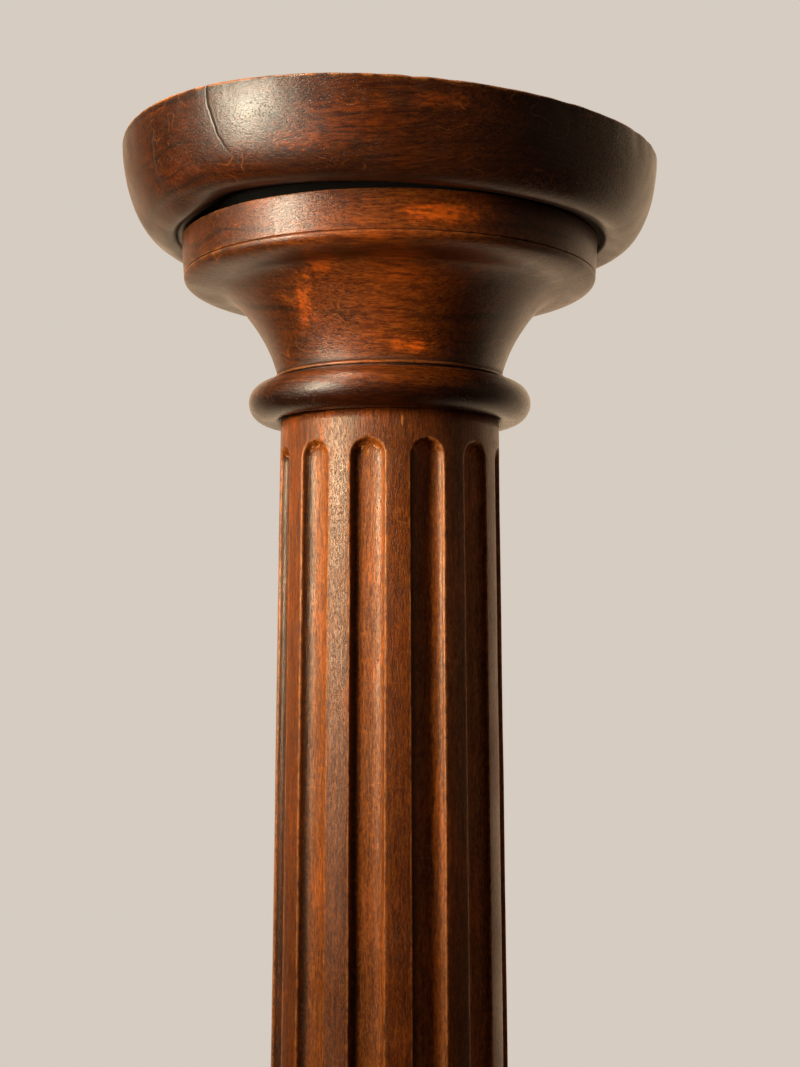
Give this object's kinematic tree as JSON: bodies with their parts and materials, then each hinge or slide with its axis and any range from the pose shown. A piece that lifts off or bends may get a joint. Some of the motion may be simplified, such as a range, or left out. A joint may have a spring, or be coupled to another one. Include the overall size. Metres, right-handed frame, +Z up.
{
  "type": "wooden pedestal column",
  "caption": "Free-standing turned wooden pedestal column with a fluted tapering shaft, a flared capital, a round warped top and a round foot.",
  "frame": {"origin": "middle of the plinth's underside, on the surface that the column stands on", "axes": "+Z up along the column's axis, -Y towards the front as pictured, +X to the right of it"},
  "size_m": [0.33, 0.33, 1.0491],
  "materials": {
    "base_wood": "satin polished red-brown hardwood, darker in the hollows",
    "shaft_wood": "satin polished red-brown hardwood with upright grain and short dark pores",
    "capital_wood": "glossy polished red-brown hardwood with level grain and an orange figure",
    "top_wood": "glossy polished red-brown hardwood with level grain, worn edges and a drying crack"
  },
  "bodies": {
    "root": {"plinth": "base_wood", "base_moulding": "base_wood", "fluted_shaft": "shaft_wood", "capital": "capital_wood", "top_disc": "top_wood"}
  },
  "joints": []
}
